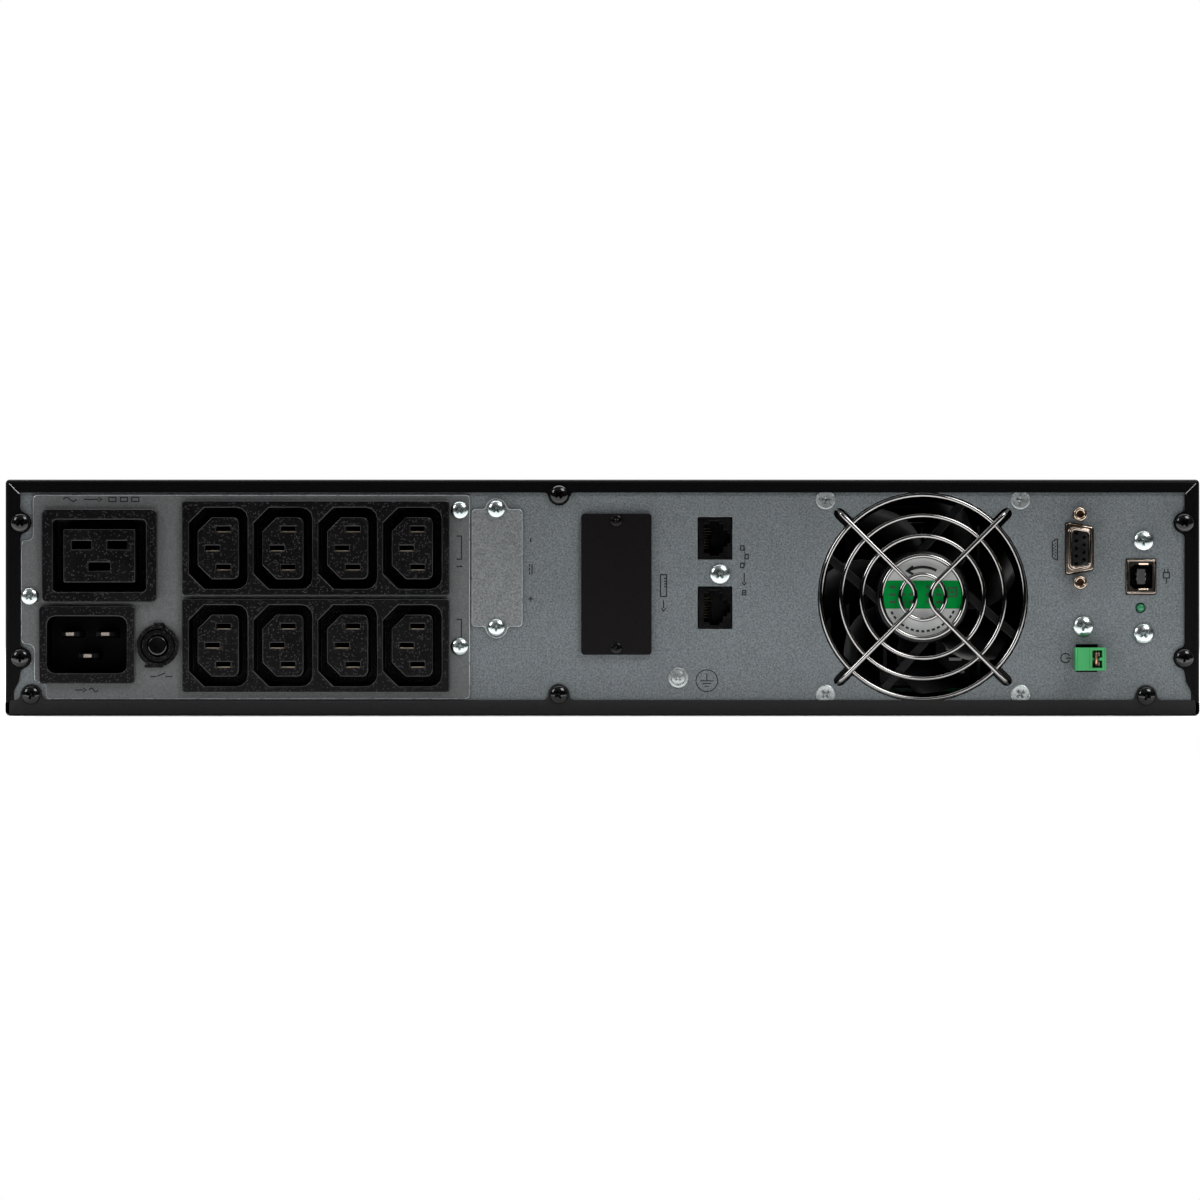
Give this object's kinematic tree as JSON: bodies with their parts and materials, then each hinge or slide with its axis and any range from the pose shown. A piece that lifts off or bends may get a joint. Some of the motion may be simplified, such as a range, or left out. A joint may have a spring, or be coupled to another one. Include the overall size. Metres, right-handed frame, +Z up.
{
  "type": "rackmount ups",
  "caption": "Two-unit rackmount uninterruptible power supply with rear IEC outlets, mains inlet, fan, signal ports and a sliding battery drawer.",
  "frame": {"origin": "middle of the underside of the whole unit's box", "axes": "+X to the right as seen from the connector side, +Y towards the front bezel, +Z up; the connector side faces -Y"},
  "size_m": [0.438, 0.6, 0.0865],
  "materials": {
    "black_steel": "fine-textured black powder coat",
    "panel_steel": "fine-grained grey coated steel sheet, bare bright cut edges",
    "plate_steel": "fine-grained grey coated steel sheet, lighter, bare bright cut edges",
    "zinc": "bright zinc-plated screw",
    "zinc_sheet": "galvanised sheet",
    "black_screw": "gloss black oxide screw",
    "chrome": "bright chrome-plated wire",
    "nickel": "nickel plate",
    "copper": "bare copper wire",
    "contact": "brass contacts",
    "socket_plastic": "black moulded plastic with a fine sparkle grain",
    "black_plastic": "smooth black moulded plastic",
    "fan_plastic": "glass-filled black plastic",
    "bezel_plastic": "fine-textured black moulded plastic",
    "key_plastic": "grey moulded keys",
    "green_plastic": "green terminal-block plastic",
    "battery_plastic": "dark grey battery case",
    "lens": "clear dark display lens",
    "led": "green light-emitting diode",
    "board": "green solder mask",
    "aluminium": "extruded aluminium",
    "winding": "ferrite core and enamelled copper winding",
    "capacitor": "shrink sleeve",
    "label": "printed paper label",
    "print": "white screen-printed ink"
  },
  "bodies": {
    "root": {"bottom_chassis": "black_steel", "top_cover": "black_steel", "rear_panel": "panel_steel", "outlet_plate": "plate_steel", "battery_port_cover": "plate_steel", "slot_cover": "black_steel", "c19_outlet": "socket_plastic", "c20_inlet": "socket_plastic", "outlet_bank_upper": "socket_plastic", "outlet_bank_lower": "socket_plastic", "breaker_body": "socket_plastic", "breaker_collar": "socket_plastic", "rj45_jack_upper": "black_plastic", "rj45_jack_lower": "black_plastic", "db9_shell": "nickel", "db9_insert": "black_plastic", "db9_jackscrew_upper": "nickel", "db9_jackscrew_lower": "nickel", "usb_shell": "nickel", "usb_insert": "black_plastic", "status_led": "led", "epo_header": "black_plastic", "fan_frame": "fan_plastic", "fan_guard": "chrome", "ground_screw": "zinc", "front_bezel": "bezel_plastic", "dock_socket": "black_plastic", "partition": "zinc_sheet", "power_board": "board", "heatsink": "aluminium", "transformer": "winding", "comm_board": "board", "bus_capacitor_1": "capacitor", "bus_capacitor_2": "capacitor", "inlet_pin_line": "nickel", "inlet_pin_neutral": "nickel", "inlet_pin_earth": "nickel", "port_screw_upper": "zinc", "slot_screw_upper": "black_screw", "port_screw_lower": "zinc", "slot_screw_lower": "black_screw"},
    "fan_rotor": {"fan_rotor": "fan_plastic"},
    "breaker_button": {"breaker_button": "black_plastic"},
    "epo_plug": {"epo_plug": "green_plastic", "epo_jumper": "copper"},
    "battery_drawer": {"drawer_front": "bezel_plastic", "battery_tray": "zinc_sheet", "dock_plug": "black_plastic", "battery_1": "battery_plastic", "battery_2": "battery_plastic", "battery_3": "battery_plastic", "battery_4": "battery_plastic", "battery_5": "battery_plastic", "battery_6": "battery_plastic"},
    "display": {"display_turntable": "bezel_plastic", "display_window": "lens"},
    "power_button": {"power_button": "key_plastic"},
    "up_button": {"up_button": "key_plastic"},
    "down_button": {"down_button": "key_plastic"},
    "enter_button": {"enter_button": "key_plastic"}
  },
  "joints": [
    {"name": "fan_spin", "type": "hinge", "parent": "root", "child": "fan_rotor", "pos_m": [0.1176, -0.27, 0.0434], "axis": [0, -1, 0], "continuous": true},
    {"name": "breaker_reset", "type": "slide", "parent": "root", "child": "breaker_button", "axis": [0, -1, 0], "range_m": [0, 0.004]},
    {"name": "epo_plug_pull", "type": "slide", "parent": "root", "child": "epo_plug", "axis": [0, -1, 0], "range_m": [0, 0.012]},
    {"name": "drawer_slide", "type": "slide", "parent": "root", "child": "battery_drawer", "axis": [0, 1, 0], "range_m": [0, 0.28]},
    {"name": "display_turn", "type": "hinge", "parent": "root", "child": "display", "pos_m": [0.1578, 0.3, 0.04325], "axis": [0, -1, 0], "range_deg": [0, 90]},
    {"name": "power_key", "type": "slide", "parent": "display", "child": "power_button", "axis": [0, -1, 0], "range_m": [0, 0.001], "stiffness_N_per_m": 1000},
    {"name": "up_key", "type": "slide", "parent": "display", "child": "up_button", "axis": [0, -1, 0], "range_m": [0, 0.001], "stiffness_N_per_m": 1000},
    {"name": "down_key", "type": "slide", "parent": "display", "child": "down_button", "axis": [0, -1, 0], "range_m": [0, 0.001], "stiffness_N_per_m": 1000},
    {"name": "enter_key", "type": "slide", "parent": "display", "child": "enter_button", "axis": [0, -1, 0], "range_m": [0, 0.001], "stiffness_N_per_m": 1000}
  ]
}
